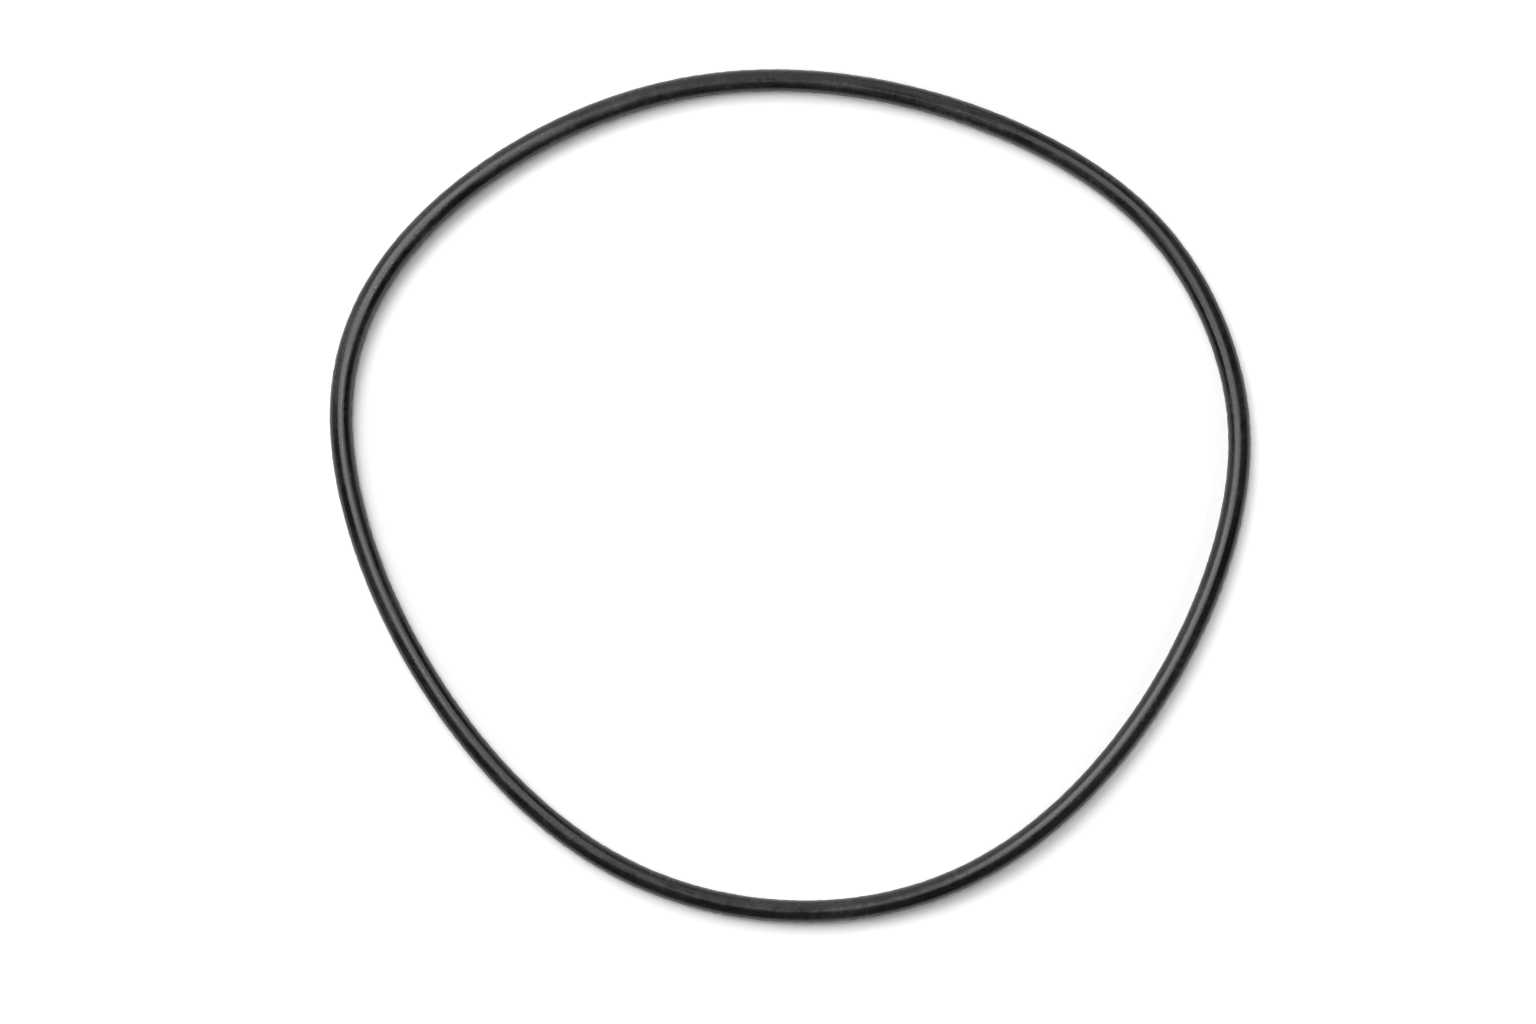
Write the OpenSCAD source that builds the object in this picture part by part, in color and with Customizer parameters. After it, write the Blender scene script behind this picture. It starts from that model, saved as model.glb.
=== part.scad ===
// Oil pump seal: a moulded rubber O-ring, lying loose on a flat surface.
// Millimetres, +Z up. The origin is the middle of the ring's outline, on the surface it lies on.

/* [Seal] */
// Diameter inside the ring when it is held round
inside_d = 136.12; // [80:0.01:250]
// Diameter of the round section
section_d = 3.53; // [1.6:0.01:8]

/* [Parting line] */
// Height of the fine bead that the mould leaves round the inner and outer edges
parting_h = 0.06; // [0.02:0.01:0.2]
// Width of that bead, which has a round back
parting_w = 0.16; // [0.06:0.01:0.4]

/* [Lay] */
// How far the loose ring lies out of round, where 0 is a true circle
out_of_round = 1; // [0:0.05:1.2]
// Share of the bend radius in the broad waves, with 2, 3, 4 and 5 crests round the ring
broad_waves = [0.115, 0.30, 0.065, 0.105]; // [0:0.005:0.3]
// Direction of a crest of each broad wave
broad_crests = [81.5, -28.5, 43, -14.5]; // [-90:0.5:90]
// Share of the bend radius in the fine waves, with 6, 7 and 8 crests round the ring
fine_waves = [0.11, 0.085, 0.07]; // [0:0.005:0.2]
// Direction of a crest of each fine wave
fine_crests = [24, 17.5, -18.5]; // [-30:0.5:30]
// Number of arcs that the ring's curve is made of
arcs = 72; // [36, 48, 60, 72]

/* [Hidden] */
$fn = 96;
rubber = "#1b1b1c";

// The ring keeps its moulded length however it lies, so its mean bend radius is that of the round ring
mean_r = (inside_d + section_d)/2;

// All the waves in the bend. The first has two crests, because a wave with a single crest would leave
// the ring open.
waves = concat(broad_waves, fine_waves);
crests = concat(broad_crests, fine_crests);
first_wave = 2;

step = 360/arcs;
quarter = arcs/4;

// Bend radius of the ring's centre line where it faces the direction a
function bend_r(a) = mean_r*(1 + out_of_round*[for (k = [0:len(waves) - 1])
    waves[k]*cos((k + first_wave)*(a - crests[k]))]*[for (w = waves) 1]);

// Bend radius of arc i, and the direction that its start faces
function arc_r(i) = bend_r((i + 0.5)*step);
function facing(i) = [cos(i*step), sin(i*step)];

// Centres of the arcs. Two arcs that meet have their centres on one line with the point where they
// meet, so the curve runs on smoothly, and the even steps in direction bring it back to its start.
centres = [for (i = 0, c = [0, 0]; i < arcs; c = c + (arc_r(i) - arc_r(i + 1))*facing(i + 1), i = i + 1) c];

// The ring is widest where it faces along an axis, and there two arcs always meet
function joint(i) = centres[i] + arc_r(i)*facing(i);
middle = [joint(0)[0] + joint(2*quarter)[0], joint(quarter)[1] + joint(3*quarter)[1]]/2;

// Moves its children by p, first by a round number and then by the rest, so that the ends of two arcs
// that meet agree to the last digit
round_to = 100;
function rounded(p) = [for (x = p) round(x*round_to)/round_to];
module move_exactly(p) {
    translate(rounded(p)) translate(p - rounded(p)) children();
}

// Section of the rubber: a full circle, with the round-backed bead of the parting line on either side
module section() {
    bead_x = section_d/2 + parting_h - parting_w/2;
    circle(d = section_d);
    square([2*bead_x, parting_w], center = true);
    for (side = [-1, 1])
        translate([side*bead_x, 0]) circle(d = parting_w);
}

// The ring as it lies: one bend after another, with its section upright all the way round
module seal() {
    color(rubber)
    for (i = [0:arcs - 1])
        move_exactly(concat(centres[i] - middle, section_d/2))
            rotate_extrude(angle = step, start = i*step)
                move_exactly([arc_r(i), 0]) section();
}

seal();
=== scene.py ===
"""The looks of an oil pump seal: a black rubber O-ring, lying loose on a pale table under soft lamps.

Lengths are in metres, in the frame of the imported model: +Z up, with the origin in the middle of the
ring's outline, on the surface that it lies on.
"""

import logging
import math
from dataclasses import dataclass, field
from enum import Enum

import bpy
import numpy as np
from mathutils import Matrix, Vector


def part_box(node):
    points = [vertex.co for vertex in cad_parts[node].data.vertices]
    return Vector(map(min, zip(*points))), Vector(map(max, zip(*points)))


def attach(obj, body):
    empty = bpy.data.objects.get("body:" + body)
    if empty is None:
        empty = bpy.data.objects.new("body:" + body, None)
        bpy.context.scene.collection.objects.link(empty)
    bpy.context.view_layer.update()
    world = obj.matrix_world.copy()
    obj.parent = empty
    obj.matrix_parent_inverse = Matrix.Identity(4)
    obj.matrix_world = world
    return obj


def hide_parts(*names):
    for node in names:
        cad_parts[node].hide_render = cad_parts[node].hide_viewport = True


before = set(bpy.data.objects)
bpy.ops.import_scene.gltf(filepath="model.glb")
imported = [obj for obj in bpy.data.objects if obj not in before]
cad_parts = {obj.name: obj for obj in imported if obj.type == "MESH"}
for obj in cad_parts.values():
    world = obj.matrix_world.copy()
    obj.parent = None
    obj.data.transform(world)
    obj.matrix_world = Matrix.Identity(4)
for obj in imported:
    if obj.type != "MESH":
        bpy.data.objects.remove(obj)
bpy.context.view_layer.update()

MM = 0.001
SEAL_NODE = "seal"
PAPER_WHITE = 1.0
FLOW = "flow"
FLOW_ACROSS = "flow_across"
OFF_BEAD = -1.0

Colour = tuple[float, float, float]
Socket = bpy.types.NodeSocket

log = logging.getLogger("seal")


class Gives(Enum):
    """What a lamp gives the scene."""

    LIGHT = "light and shadow"
    GLOSS = "a bright patch to show in a gloss"


class Side(Enum):
    """The two sides of the section on which the mould's halves met, by their angles round it."""

    OUTER = 0.0
    INNER = math.pi


def add_object(name: str, data: bpy.types.ID) -> bpy.types.Object:
    """Adds an object to the scene.

    Args:
        name: The object's name.
        data: Its mesh, lamp or camera.

    Returns:
        The new object.
    """
    made = bpy.data.objects.new(name, data)
    bpy.context.scene.collection.objects.link(made)
    return made


# ----------------------------------------------------------------------------------------------------
# How the ring lies
# ----------------------------------------------------------------------------------------------------


@dataclass(frozen=True)
class Wave:
    """One wave in the ring's bend.

    Attributes:
        crests: How many times the wave rises on the way round.
        share: Its height, as a share of the mean bend radius.
        crest: The direction that the ring faces at one of the crests, in degrees.
    """

    crests: int
    share: float
    crest: float

    def phase(self) -> float:
        """The wave's phase at the direction 0, in radians."""
        return self.crests * math.radians(self.crest)


LOOSE_WAVES = (
    Wave(crests=2, share=0.115, crest=81.5),
    Wave(crests=3, share=0.30, crest=-28.5),
    Wave(crests=4, share=0.065, crest=43),
    Wave(crests=5, share=0.105, crest=-14.5),
    Wave(crests=6, share=0.11, crest=24),
    Wave(crests=7, share=0.085, crest=17.5),
    Wave(crests=8, share=0.07, crest=-18.5),
)


@dataclass(frozen=True)
class Lay:
    """The plan of a loose ring, given by its bend radius in each direction that it faces.

    A ring that faces each direction once, with no wave of a single crest in its bend, closes on itself
    and keeps the length of the round ring.

    Attributes:
        mean_radius: Radius of the centre line when the ring is held round.
        waves: What the loose lay adds to the bend.
        fineness: Number of steps in which each length is measured when the ring is divided.
    """

    mean_radius: float
    waves: tuple[Wave, ...] = LOOSE_WAVES
    fineness: int = 16

    def travelled(self, facing: np.ndarray) -> np.ndarray:
        """Length of the centre line up to where it faces each direction, from the same start for all.

        Args:
            facing: Directions in radians.

        Returns:
            One length for each direction.
        """
        length = np.array(facing, dtype=float)
        for wave in self.waves:
            length += wave.share / wave.crests * np.sin(wave.crests * facing - wave.phase())
        return length * self.mean_radius

    def points(self, facing: np.ndarray) -> np.ndarray:
        """Points of the centre line, about the middle of its outline.

        Args:
            facing: Directions in radians.

        Returns:
            One row of x and y for each direction.
        """
        right, back, left, front = self._complex_points(np.arange(4) * math.pi / 2)
        middle = complex(right.real + left.real, back.imag + front.imag) / 2
        line = self._complex_points(facing) - middle
        return np.stack([line.real, line.imag], axis=1)

    def _complex_points(self, facing: np.ndarray) -> np.ndarray:
        """The centre line as complex numbers: the bend radius times the way on, summed exactly.

        Args:
            facing: Directions in radians.

        Returns:
            One complex number for each direction.
        """
        line = np.exp(1j * facing)
        for wave in self.waves:
            n = wave.crests
            ahead = np.exp(1j * ((n + 1) * facing - wave.phase())) / (n + 1)
            behind = np.exp(-1j * ((n - 1) * facing - wave.phase())) / (n - 1)
            line += wave.share / 2 * (ahead - behind)
        return line * self.mean_radius

    def even_steps(self, count: int) -> np.ndarray:
        """Directions that divide the ring into equal lengths.

        Args:
            count: Number of lengths.

        Returns:
            The directions, in radians, that the ring faces where each length starts.
        """
        fine = np.linspace(0, 2 * math.pi, self.fineness * count + 1)
        length = self.travelled(fine)
        wanted = length[0] + np.arange(count) / count * (length[-1] - length[0])
        return np.interp(wanted, length, fine)


# ----------------------------------------------------------------------------------------------------
# Finishes
# ----------------------------------------------------------------------------------------------------


@dataclass(frozen=True)
class Pattern:
    """A soft random pattern.

    Attributes:
        size: Size of its blotches.
        layers: Number of finer layers over the first.
        layer_weight: Weight of each finer layer against the one before it.
    """

    size: float
    layers: int
    layer_weight: float = 0.5


@dataclass
class Nodes:
    """The node tree of a material or of the room, with short ways to add and join nodes.

    Attributes:
        tree: The node tree.
    """

    tree: bpy.types.NodeTree

    def add(self, kind: str, **settings: object) -> bpy.types.Node:
        """Adds a node.

        Args:
            kind: The node's type name.
            settings: Values of its own settings.

        Returns:
            The new node.
        """
        node = self.tree.nodes.new(kind)
        for name, value in settings.items():
            setattr(node, name, value)
        return node

    def join(self, start: Socket, end: Socket) -> None:
        """Joins an output to an input."""
        self.tree.links.new(start, end)

    def noise(self, place: Socket, pattern: Pattern, fourth: Socket | None = None) -> Socket:
        """Adds a random pattern.

        Args:
            place: Where a point is on the pattern.
            pattern: The pattern.
            fourth: Where it is in a fourth direction, if the pattern has one.

        Returns:
            A value from 0 to 1.
        """
        node = self.add("ShaderNodeTexNoise", noise_dimensions="3D" if fourth is None else "4D")
        node.inputs["Scale"].default_value = 1 / pattern.size
        node.inputs["Detail"].default_value = pattern.layers
        node.inputs["Roughness"].default_value = pattern.layer_weight
        self.join(place, node.inputs["Vector"])
        if fourth is not None:
            self.join(fourth, node.inputs["W"])
        return node.outputs["Fac"]

    def spread(self, value: Socket, low: float, high: float, to_low: float, to_high: float) -> Socket:
        """Spreads a range of values over another.

        Args:
            value: The value to spread.
            low: Its low end.
            high: Its high end.
            to_low: What the low end becomes.
            to_high: What the high end becomes.

        Returns:
            The spread value.
        """
        node = self.add("ShaderNodeMapRange")
        node.inputs["From Min"].default_value = low
        node.inputs["From Max"].default_value = high
        node.inputs["To Min"].default_value = to_low
        node.inputs["To Max"].default_value = to_high
        self.join(value, node.inputs["Value"])
        return node.outputs["Result"]

    def maths(self, what: str, first: Socket, second: Socket) -> Socket:
        """Adds one step of arithmetic.

        Args:
            what: The operation.
            first: Its first value.
            second: Its second value.

        Returns:
            The result.
        """
        node = self.add("ShaderNodeMath", operation=what)
        self.join(first, node.inputs[0])
        self.join(second, node.inputs[1])
        return node.outputs["Value"]

    def seen(self) -> Socket:
        """Tells what is seen, straight or in a gloss, from what only gives light.

        Returns:
            1 for camera, glossy and transmission rays and 0 for the rest.
        """
        path = self.add("ShaderNodeLightPath")
        either = self.maths("MAXIMUM", path.outputs["Is Camera Ray"], path.outputs["Is Glossy Ray"])
        return self.maths("MAXIMUM", either, path.outputs["Is Transmission Ray"])

    def mix(self, share: Socket, first: Socket | Colour, second: Socket | Colour) -> Socket:
        """Mixes two colours.

        Args:
            share: The second one's share.
            first: The first colour, or the output that gives it.
            second: The second colour, or the output that gives it.

        Returns:
            The mixed colour.
        """
        node = self.add("ShaderNodeMix", data_type="RGBA")
        self.join(share, node.inputs["Factor"])
        for name, colour in (("A", first), ("B", second)):
            socket = next(s for s in node.inputs if s.name == name and s.type == "RGBA")
            if isinstance(colour, Socket):
                self.join(colour, socket)
            else:
                socket.default_value = (*colour, 1.0)
        return next(s for s in node.outputs if s.type == "RGBA")


@dataclass(frozen=True)
class NitrileFinish:
    """Satin black moulded rubber: a fine even skin, faintly drawn along the ring, with a little dust.

    Attributes:
        black: Colour of the deepest black.
        worn_black: Colour where handling has greyed the skin.
        dust: Colour of the specks.
        polish: Roughness where the skin is smoothest.
        matt: Roughness where it is dullest.
        dust_matt: Roughness of the dust, where it hides all of the rubber.
        index: Refractive index of the skin.
        handling: The stretches that handling has greyed and dulled.
        mottle: The blotches in them.
        drawn: The faint lines along the ring, measured across them.
        wear_range: The sums of those three patterns at which the skin is as new and fully worn.
        drawn_depth: Depth of the faint lines.
        peel: The soft unevenness under the grain.
        peel_depth: Depth of that unevenness.
        grain: The mould's grain.
        grain_depth: Depth of that grain.
        dust_spacing: Space between the places where a speck may lie.
        dust_share: Share of those places that hold one.
        dust_size: Radius of the largest speck.
        dust_edge: Width of a speck's soft edge, as a share of the spacing.
        dust_cover: How much of the rubber a speck hides.
    """

    black: Colour = (0.0080, 0.0080, 0.0080)
    worn_black: Colour = (0.0240, 0.0239, 0.0240)
    dust: Colour = (0.075, 0.072, 0.068)
    polish: float = 0.14
    matt: float = 0.31
    dust_matt: float = 0.8
    index: float = 1.42
    handling: Pattern = Pattern(9 * MM, 2)
    mottle: Pattern = Pattern(1.0 * MM, 4, 0.65)
    drawn: Pattern = Pattern(0.9 * MM, 2)
    wear_range: tuple[float, float] = (1.2, 1.8)
    drawn_depth: float = 0.0025 * MM
    peel: Pattern = Pattern(0.45 * MM, 1)
    peel_depth: float = 0.014 * MM
    grain: Pattern = Pattern(0.09 * MM, 1)
    grain_depth: float = 0.0028 * MM
    dust_spacing: float = 0.9 * MM
    dust_share: float = 0.12
    dust_size: float = 0.055 * MM
    dust_edge: float = 0.01
    dust_cover: float = 0.7

    def material(self, name: str) -> bpy.types.Material:
        """Makes the rubber's material.

        Args:
            name: The material's name.

        Returns:
            The material.
        """
        made = bpy.data.materials.new(name)
        made.use_nodes = True
        nodes = Nodes(made.node_tree)
        shader = made.node_tree.nodes["Principled BSDF"]
        shader.inputs["IOR"].default_value = self.index
        place = nodes.add("ShaderNodeTexCoord").outputs["Object"]
        handled = nodes.noise(place, self.handling)
        mottled = nodes.noise(place, self.mottle)
        drawn = self._drawn_lines(nodes)
        speck = self._specks(nodes, place)

        wear = nodes.maths("ADD", nodes.maths("ADD", handled, mottled), drawn)
        greyed = nodes.spread(wear, *self.wear_range, 0.0, 1.0)
        rubber = nodes.mix(greyed, self.black, self.worn_black)
        nodes.join(nodes.mix(speck, rubber, self.dust), shader.inputs["Base Color"])

        skin = nodes.spread(wear, *self.wear_range, self.polish, self.matt)
        dusty = nodes.spread(speck, 0.0, 1.0, 0.0, self.dust_matt)
        nodes.join(nodes.maths("MAXIMUM", skin, dusty), shader.inputs["Roughness"])
        nodes.join(self._relief(nodes, place, drawn), shader.inputs["Normal"])
        return made

    def _drawn_lines(self, nodes: Nodes) -> Socket:
        """Faint lines along the ring, left by the rubber's flow in the mould.

        Args:
            nodes: The material's nodes.

        Returns:
            A value from 0 to 1.
        """
        along = nodes.add("ShaderNodeAttribute", attribute_name=FLOW).outputs["Vector"]
        across = nodes.add("ShaderNodeAttribute", attribute_name=FLOW_ACROSS).outputs["Fac"]
        return nodes.noise(along, self.drawn, across)

    def _specks(self, nodes: Nodes, place: Socket) -> Socket:
        """Where specks of dust lie.

        Args:
            nodes: The material's nodes.
            place: The place on the object.

        Returns:
            How much of the rubber a speck hides there, which is 0 between the specks.
        """
        cells = nodes.add("ShaderNodeTexVoronoi")
        cells.inputs["Scale"].default_value = 1 / self.dust_spacing
        nodes.join(place, cells.inputs["Vector"])
        chance = nodes.add("ShaderNodeSeparateColor")
        nodes.join(cells.outputs["Color"], chance.inputs["Color"])
        largest = self.dust_size / self.dust_spacing
        radius = nodes.spread(chance.outputs["Red"], 1 - self.dust_share, 1.0, 0.0, largest)
        inside = nodes.maths("SUBTRACT", radius, cells.outputs["Distance"])
        return nodes.spread(inside, 0.0, self.dust_edge, 0.0, self.dust_cover)

    def _relief(self, nodes: Nodes, place: Socket, drawn: Socket) -> Socket:
        """The skin's relief: the mould's grain over a soft unevenness and the faint lines.

        Args:
            nodes: The material's nodes.
            place: The place on the object.
            drawn: The faint lines.

        Returns:
            The surface's normal.
        """
        layers = (
            (drawn, self.drawn_depth),
            (nodes.noise(place, self.peel), self.peel_depth),
            (nodes.noise(place, self.grain), self.grain_depth),
        )
        normal = None
        for height, depth in layers:
            bump = nodes.add("ShaderNodeBump")
            bump.inputs["Distance"].default_value = depth
            nodes.join(height, bump.inputs["Height"])
            if normal is not None:
                nodes.join(normal, bump.inputs["Normal"])
            normal = bump.outputs["Normal"]
        return normal


@dataclass(frozen=True)
class TableFinish:
    """A matt white table top, which stays as pale in the distance as it is under the lamps.

    Attributes:
        white: Colour of the top, as it lights what lies on it.
        shown_white: Its colour as a gloss or a clear thing shows it.
        seen_white: Its colour as the camera sees it, which keeps the shadow and clears the rest.
        near: Radius of the stretch that shows its real light and shadow.
        far: Radius beyond which the top shows as even white.
    """

    white: Colour = (0.92, 0.92, 0.92)
    shown_white: Colour = (1.0, 1.0, 1.0)
    seen_white: Colour = (1.16, 1.16, 1.16)
    near: float = 0.095
    far: float = 0.24

    def material(self, name: str) -> bpy.types.Material:
        """Makes the table's material.

        Args:
            name: The material's name.

        Returns:
            The material.
        """
        made = bpy.data.materials.new(name)
        made.use_nodes = True
        nodes = Nodes(made.node_tree)
        made.node_tree.nodes.remove(made.node_tree.nodes["Principled BSDF"])
        straight = nodes.add("ShaderNodeLightPath").outputs["Is Camera Ray"]
        shown = nodes.mix(nodes.seen(), self.white, self.shown_white)
        top = nodes.add("ShaderNodeBsdfDiffuse")
        nodes.join(nodes.mix(straight, shown, self.seen_white), top.inputs["Color"])
        even = nodes.add("ShaderNodeEmission")
        even.inputs["Strength"].default_value = PAPER_WHITE
        away = nodes.add("ShaderNodeVectorMath", operation="LENGTH")
        nodes.join(nodes.add("ShaderNodeTexCoord").outputs["Object"], away.inputs[0])
        fade = nodes.spread(away.outputs["Value"], self.near, self.far, 0.0, 1.0)
        both = nodes.add("ShaderNodeMixShader")
        nodes.join(nodes.maths("MULTIPLY", fade, nodes.seen()), both.inputs["Fac"])
        nodes.join(top.outputs["BSDF"], both.inputs[1])
        nodes.join(even.outputs["Emission"], both.inputs[2])
        surface = made.node_tree.nodes["Material Output"].inputs["Surface"]
        nodes.join(both.outputs["Shader"], surface)
        return made


# ----------------------------------------------------------------------------------------------------
# The seal
# ----------------------------------------------------------------------------------------------------


@dataclass(frozen=True)
class Ripples:
    """A band of random waves round the ring.

    Attributes:
        crests: How many times one of the waves may rise on the way round.
        count: Number of waves.
    """

    crests: range
    count: int


@dataclass
class SealRing:
    """The rubber ring, swept round its lay, with the parting line that the mould leaves.

    Attributes:
        inside_diameter: Diameter inside the ring when it is held round.
        section_diameter: Diameter of its section.
        bead_height: Height of the parting line's bead where it is full.
        bead_width: Width of that bead.
        trimming: How the trimmed height varies along the bead.
        trimmed_mean: Mean share of the bead's height that trimming leaves.
        trimmed_spread: How much that share varies.
        trimmed_least: The least that it can be.
        unevenness: How much the section's radius varies.
        swells: How it varies along the ring.
        swell_shapes: Number of shapes round the section in which it does so, the first being round.
        rings: Number of sections along the ring.
        arc_points: Number of points on each half of the section, between the beads.
        bead_points: Number of points across a bead.
        drawn_out: How much longer the faint lines are than they are wide.
        seed: Start of the random draws.
        finish: The rubber's finish.
    """

    inside_diameter: float = 136.12 * MM
    section_diameter: float = 3.53 * MM
    bead_height: float = 0.06 * MM
    bead_width: float = 0.16 * MM
    trimming: Ripples = Ripples(range(40, 330), 24)
    trimmed_mean: float = 0.75
    trimmed_spread: float = 0.2
    trimmed_least: float = 0.35
    unevenness: float = 0.006 * MM
    swells: Ripples = Ripples(range(9, 60), 10)
    swell_shapes: int = 4
    rings: int = 1000
    arc_points: int = 39
    bead_points: int = 9
    drawn_out: float = 18
    seed: int = 7
    finish: NitrileFinish = field(default_factory=NitrileFinish)

    @property
    def section_radius(self) -> float:
        """Radius of the section."""
        return self.section_diameter / 2

    @property
    def lay(self) -> Lay:
        """The plan of the ring's centre line."""
        return Lay((self.inside_diameter + self.section_diameter) / 2)

    def build(self) -> bpy.types.Object:
        """Builds and dresses the ring.

        Returns:
            The ring's object.
        """
        facing = self.lay.even_steps(self.rings)
        around, bead = self._section()
        radius = self._radii(facing, around, bead)
        verts = self._place(facing, around, radius)
        mesh = self._mesh(verts, bead)
        self._mark_flow(mesh, facing, around)
        mesh.materials.append(self.finish.material("nitrile_rubber"))
        return add_object("seal_ring", mesh)

    def _section(self) -> tuple[np.ndarray, np.ndarray]:
        """The section's points, close together on the beads.

        Returns:
            The points' angles round the section from its outer side, and the bead's height at each as a
            share of its full height. That share is 0 at a bead's two roots, and OFF_BEAD between beads.
        """
        half = self.bead_width / 2 / self.section_radius
        across = np.sin(np.linspace(-math.pi / 2, math.pi / 2, self.bead_points))
        round_back = np.sqrt(np.maximum(1 - across**2, 0))
        angles, heights = [], []
        for side in Side:
            angles.append(side.value + across * half)
            heights.append(round_back)
            start, end = side.value + half, side.value + math.pi - half
            arc = np.linspace(start, end, self.arc_points + 2)[1:-1]
            angles.append(arc)
            heights.append(np.full(len(arc), OFF_BEAD))
        return np.concatenate(angles), np.concatenate(heights)

    def _waves(self, draws: np.random.Generator, facing: np.ndarray, ripples: Ripples) -> np.ndarray:
        """Smooth random waves round the ring that close on themselves.

        Args:
            draws: The random draws.
            facing: Directions in radians.
            ripples: The band that the waves are drawn from.

        Returns:
            A value for each direction, with a spread of about 1.
        """
        start = self.lay.travelled(np.zeros(1))
        turn = (self.lay.travelled(facing) - start) / self.lay.mean_radius
        crests = draws.integers(ripples.crests.start, ripples.crests.stop, ripples.count)
        phases = draws.uniform(0, 2 * math.pi, ripples.count)
        return np.cos(np.outer(turn, crests) + phases).sum(axis=1) / math.sqrt(ripples.count / 2)

    def _radii(self, facing: np.ndarray, around: np.ndarray, bead: np.ndarray) -> np.ndarray:
        """The distance of each point from the centre line.

        The swells only take rubber away, and each takes the most where it is two spreads high.

        Args:
            facing: Directions of the sections.
            around: Angles round the section.
            bead: The bead's share of its height at those angles, or OFF_BEAD.

        Returns:
            One row for each section, with one distance for each angle.
        """
        draws = np.random.default_rng(self.seed)
        radius = np.full((len(facing), len(around)), self.section_radius)
        for turns in range(self.swell_shapes):
            shape = np.cos(turns * around + turns)
            swell = self._waves(draws, facing, self.swells)[:, None] * shape[None]
            radius -= self.unevenness * (1 + np.clip(swell / 2, -1, 1)) / self.swell_shapes
        for side in Side:
            near = np.abs(np.angle(np.exp(1j * (around - side.value)))) < math.pi / 2
            on_bead = near & (bead > 0)
            left = self.trimmed_mean + self.trimmed_spread * self._waves(draws, facing, self.trimming)
            trim = np.clip(left, self.trimmed_least, 1)
            radius[:, on_bead] += self.bead_height * trim[:, None] * bead[on_bead][None]
        return radius

    def _place(self, facing: np.ndarray, around: np.ndarray, radius: np.ndarray) -> np.ndarray:
        """Places the sections along the centre line, upright, with the ring on the table.

        Args:
            facing: Directions of the sections.
            around: Angles round the section.
            radius: Distance of each point from the centre line.

        Returns:
            The place of each point, by section and by angle.
        """
        low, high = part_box(SEAL_NODE)
        line = self.lay.points(facing) + np.array([(low.x + high.x) / 2, (low.y + high.y) / 2])
        outwards = radius * np.cos(around)
        x = line[:, :1] + outwards * np.cos(facing)[:, None]
        y = line[:, 1:] + outwards * np.sin(facing)[:, None]
        z = low.z + self.section_radius + radius * np.sin(around)
        return np.stack([x, y, z], axis=2)

    def _mesh(self, verts: np.ndarray, bead: np.ndarray) -> bpy.types.Mesh:
        """Joins the sections into a closed tube, with a crease along the beads' roots.

        Args:
            verts: The place of each point, by section and by angle.
            bead: The bead's share of its height at those angles, or OFF_BEAD.

        Returns:
            The mesh.
        """
        count = len(bead)
        here = np.arange(len(verts) * count).reshape(-1, count)
        ahead = np.roll(here, -1, axis=0)
        corners = [here, ahead, np.roll(ahead, -1, axis=1), np.roll(here, -1, axis=1)]
        faces = np.stack(corners, axis=2)
        mesh = bpy.data.meshes.new("seal_ring")
        mesh.from_pydata(verts.reshape(-1, 3).tolist(), [], faces.reshape(-1, 4).tolist())
        mesh.shade_smooth()
        root = np.isclose(bead, 0)
        ends = np.empty(len(mesh.edges) * 2, dtype=np.int32)
        mesh.edges.foreach_get("vertices", ends)
        column = ends.reshape(-1, 2) % count
        along_root = (column[:, 0] == column[:, 1]) & root[column[:, 0]]
        mesh.attributes.new("sharp_edge", "BOOLEAN", "EDGE").data.foreach_set("value", along_root)
        mesh.validate()
        return mesh

    def _mark_flow(self, mesh: bpy.types.Mesh, facing: np.ndarray, around: np.ndarray) -> None:
        """Gives each point its place along and round the ring, so that faint lines can follow it.

        The length is wound on a small circle, so that a pattern there is drawn out along the ring and
        meets itself.

        Args:
            mesh: The ring's mesh.
            facing: Directions of the sections.
            around: Angles round the section.
        """
        circle = self.lay.mean_radius / self.drawn_out
        turn, angle = np.meshgrid(self.lay.travelled(facing) / self.lay.mean_radius, around, indexing="ij")
        height = self.section_radius * np.sin(angle)
        across = self.section_radius * np.cos(angle)
        flow = np.stack([circle * np.cos(turn), circle * np.sin(turn), height], axis=2)
        mesh.attributes.new(FLOW, "FLOAT_VECTOR", "POINT").data.foreach_set("vector", flow.ravel())
        mesh.attributes.new(FLOW_ACROSS, "FLOAT", "POINT").data.foreach_set("value", across.ravel())


# ----------------------------------------------------------------------------------------------------
# The table and the lamps
# ----------------------------------------------------------------------------------------------------


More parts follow.
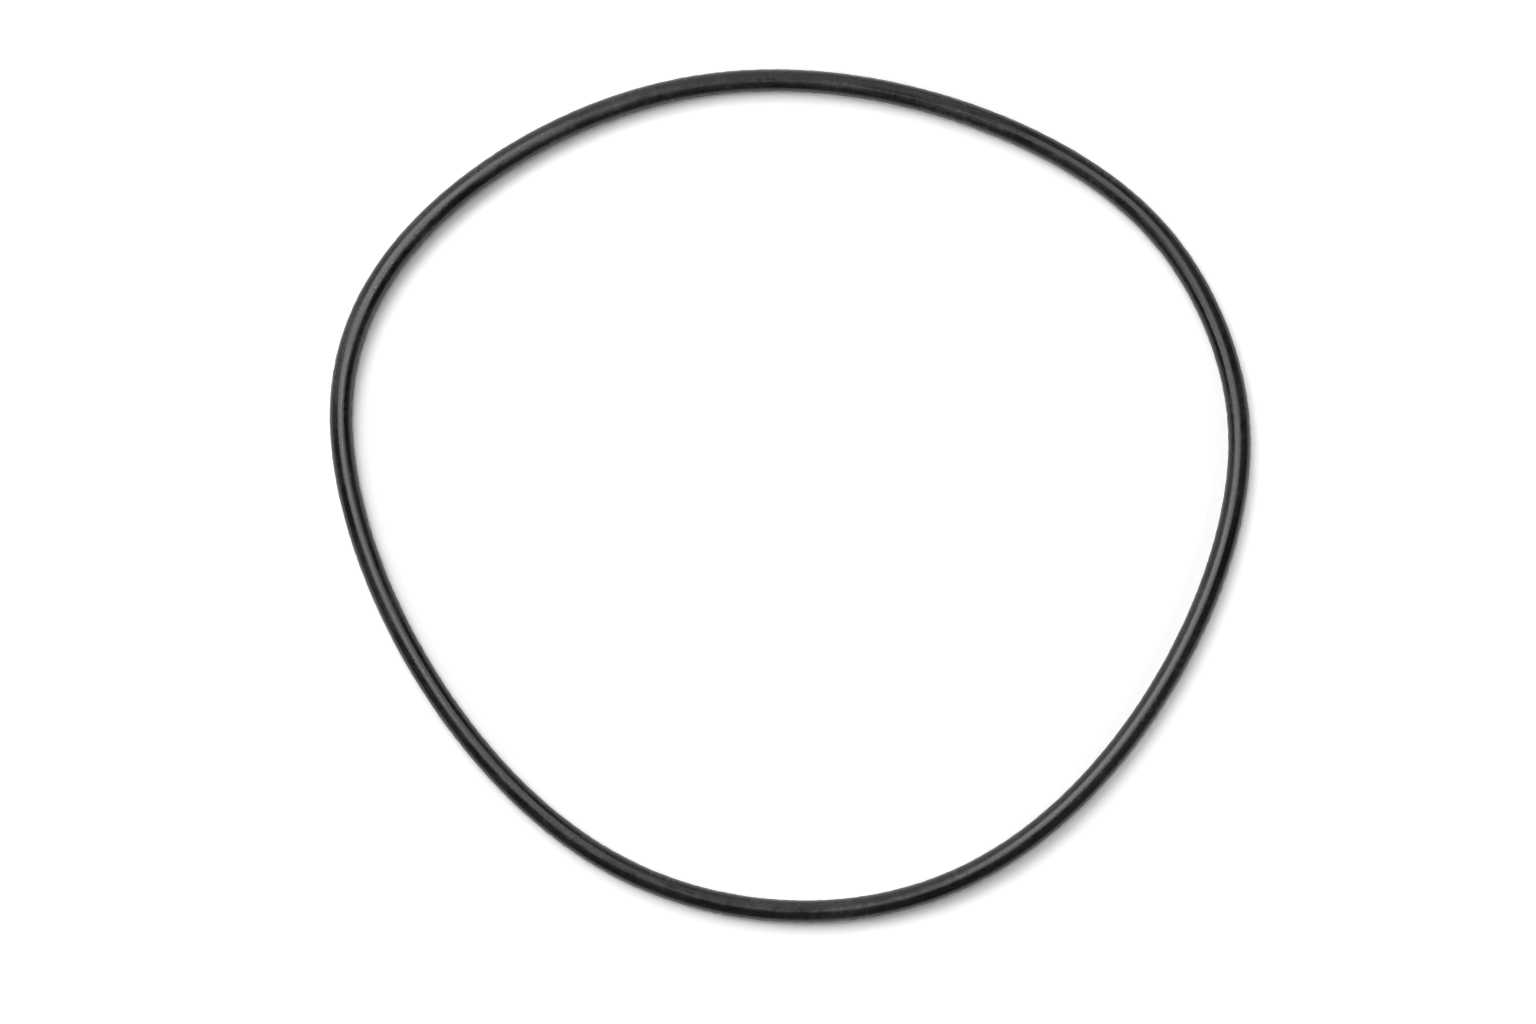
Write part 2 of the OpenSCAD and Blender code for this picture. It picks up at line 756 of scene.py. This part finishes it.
@dataclass(frozen=True)
class Lamp:
    """A softbox or a bright card that faces the ring.

    Attributes:
        name: The lamp's name.
        gives: What it is there for. Each does one of the two, so that one can be set without the other.
        bearing: Its direction in plan, in degrees from +X.
        tilt: Its angle from straight overhead, in degrees.
        distance: How far it stands from the ring.
        width: Its size on the way from overhead to the table.
        length: Its size along the table.
        roll: Its turn about its own axis, in degrees.
        brightness: How bright its face is, where lit white paper is 1.
    """

    name: str
    gives: Gives
    bearing: float
    tilt: float
    distance: float
    width: float
    length: float
    roll: float
    brightness: float

    def build(self) -> None:
        """Places the lamp."""
        data = bpy.data.lights.new(self.name, "AREA")
        data.shape = "RECTANGLE"
        data.size = self.width
        data.size_y = self.length
        data.energy = self.brightness * self.width * self.length * math.pi
        lamp = add_object(self.name, data)
        lamp.visible_camera = False
        lamp.visible_diffuse = self.gives is Gives.LIGHT
        lamp.visible_glossy = self.gives is Gives.GLOSS
        bearing, tilt, roll = (math.radians(a) for a in (self.bearing, self.tilt, self.roll))
        up = Vector((0, 0, 1))
        away = Vector((math.cos(bearing), math.sin(bearing), 0))
        out = math.sin(tilt) * away + math.cos(tilt) * up
        down = math.cos(tilt) * away - math.sin(tilt) * up
        across = math.cos(roll) * down + math.sin(roll) * up.cross(away)
        axes = Matrix((across, out.cross(across), out)).transposed()
        lamp.location = out * self.distance
        lamp.rotation_mode = "QUATERNION"
        lamp.rotation_quaternion = axes.to_quaternion()


@dataclass
class Studio:
    """The table, the lamps, the dim room and the camera that looks straight down.

    Attributes:
        lamps: The softboxes that light the ring and the bright cards that show in its gloss.
        room: Brightness of the room, where lit white paper is 1.
        skyline: How far up the room's white wall shows in a gloss, where straight up is 1.
        table_rings: Radii of the table top's rings of faces, out to its edge.
        table_spokes: Number of faces in each.
        seen_width: Width of the table that the camera sees.
        camera_height: Height of the camera above the ring.
        camera_place: Where the camera hangs, in plan, from the middle of the ring.
        sensor_width: Width of the camera's sensor, in millimetres.
        camera_reach: The nearest and the furthest that the camera sees.
        table: The table's finish.
    """

    lamps: tuple[Lamp, ...] = (
        Lamp("overhead_softbox", Gives.LIGHT, bearing=115.8, tilt=10, distance=2.35,
             width=0.329, length=1.2, roll=67, brightness=10.5),
        Lamp("left_lamp", Gives.LIGHT, bearing=178.7, tilt=68.1, distance=0.486,
             width=0.4, length=0.19, roll=23, brightness=4.36),
        Lamp("key_softbox", Gives.LIGHT, bearing=121.9, tilt=39.8, distance=4,
             width=1.87, length=3.25, roll=20, brightness=5.98),
        Lamp("right_lamp", Gives.LIGHT, bearing=355.2, tilt=55.3, distance=0.344,
             width=0.0575, length=0.437, roll=-12, brightness=4.04),
        Lamp("near_card", Gives.GLOSS, bearing=179.4, tilt=18.7, distance=0.151,
             width=0.02, length=0.0639, roll=24, brightness=12.3),
        Lamp("key_card", Gives.GLOSS, bearing=146.5, tilt=28.6, distance=0.944,
             width=0.978, length=0.412, roll=-27, brightness=4.6),
        Lamp("wall_card", Gives.GLOSS, bearing=121.5, tilt=58.8, distance=1.12,
             width=2.23, length=2.05, roll=-50, brightness=1.08),
        Lamp("side_card", Gives.GLOSS, bearing=37.9, tilt=24, distance=0.329,
             width=0.0963, length=0.288, roll=-61, brightness=3.2),
    )
    room: float = 0.02
    skyline: float = 0.04
    table_rings: tuple[float, ...] = (0.5, 2.0, 8.0, 30.0)
    table_spokes: int = 96
    seen_width: float = 249.3 * MM
    camera_height: float = 1.2
    camera_place: tuple[float, float] = (-3.58 * MM, -2.61 * MM)
    sensor_width: float = 36.0
    camera_reach: tuple[float, float] = (0.01, 100.0)
    table: TableFinish = field(default_factory=TableFinish)

    def build(self) -> None:
        """Builds the whole studio."""
        self._table()
        for lamp in self.lamps:
            lamp.build()
            log.info("lamp %s", lamp.name)
        self._room()
        self._camera()
        bpy.context.scene.view_settings.view_transform = "Standard"

    def _table(self) -> None:
        """Lays the round table top, in rings that grow with distance."""
        low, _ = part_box(SEAL_NODE)
        spokes = self.table_spokes
        turns = [2 * math.pi * i / spokes for i in range(spokes)]
        verts = [(0.0, 0.0, low.z)]
        for radius in self.table_rings:
            verts += [(radius * math.cos(turn), radius * math.sin(turn), low.z) for turn in turns]
        faces = [(0, 1 + i, 1 + (i + 1) % spokes) for i in range(spokes)]
        for band in range(1, len(self.table_rings)):
            outer = 1 + band * spokes
            inner = outer - spokes
            for i in range(spokes):
                j = (i + 1) % spokes
                faces.append((inner + i, outer + i, outer + j, inner + j))
        mesh = bpy.data.meshes.new("table_top")
        mesh.from_pydata(verts, [], faces)
        mesh.materials.append(self.table.material("matt_white"))
        add_object("table_top", mesh)

    def _room(self) -> None:
        """Makes the dim room, white to the camera and, just above the table's edge, in a gloss."""
        world = bpy.data.worlds.new("studio_room")
        world.use_nodes = True
        bpy.context.scene.world = world
        nodes = Nodes(world.node_tree)
        way = nodes.add("ShaderNodeTexCoord").outputs["Generated"]
        parts = nodes.add("ShaderNodeSeparateXYZ")
        nodes.join(way, parts.inputs["Vector"])
        wall = nodes.spread(parts.outputs["Z"], 0.0, self.skyline, 1.0, 0.0)
        straight = nodes.add("ShaderNodeLightPath").outputs["Is Camera Ray"]
        white = nodes.maths("MAXIMUM", straight, nodes.maths("MULTIPLY", nodes.seen(), wall))
        backdrop = world.node_tree.nodes["Background"]
        backdrop.inputs["Color"].default_value = (1, 1, 1, 1)
        strength = nodes.spread(white, 0.0, 1.0, self.room, PAPER_WHITE)
        nodes.join(strength, backdrop.inputs["Strength"])

    def _camera(self) -> None:
        """Hangs the camera over the table."""
        low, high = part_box(SEAL_NODE)
        data = bpy.data.cameras.new("camera")
        data.sensor_width = self.sensor_width
        data.lens = self.sensor_width * self.camera_height / self.seen_width
        data.clip_start, data.clip_end = self.camera_reach
        camera = add_object("camera", data)
        camera.location = (low + high) / 2 + Vector((*self.camera_place, self.camera_height))
        bpy.context.scene.camera = camera


def main() -> None:
    """Builds the studio and the seal."""
    logging.basicConfig(level=logging.INFO, format="%(message)s")
    Studio().build()
    ring = SealRing().build()
    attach(ring, "root")
    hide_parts(SEAL_NODE)
    log.info("piece %s: %d faces", ring.name, len(ring.data.polygons))


if __name__ == "__main__":
    main()
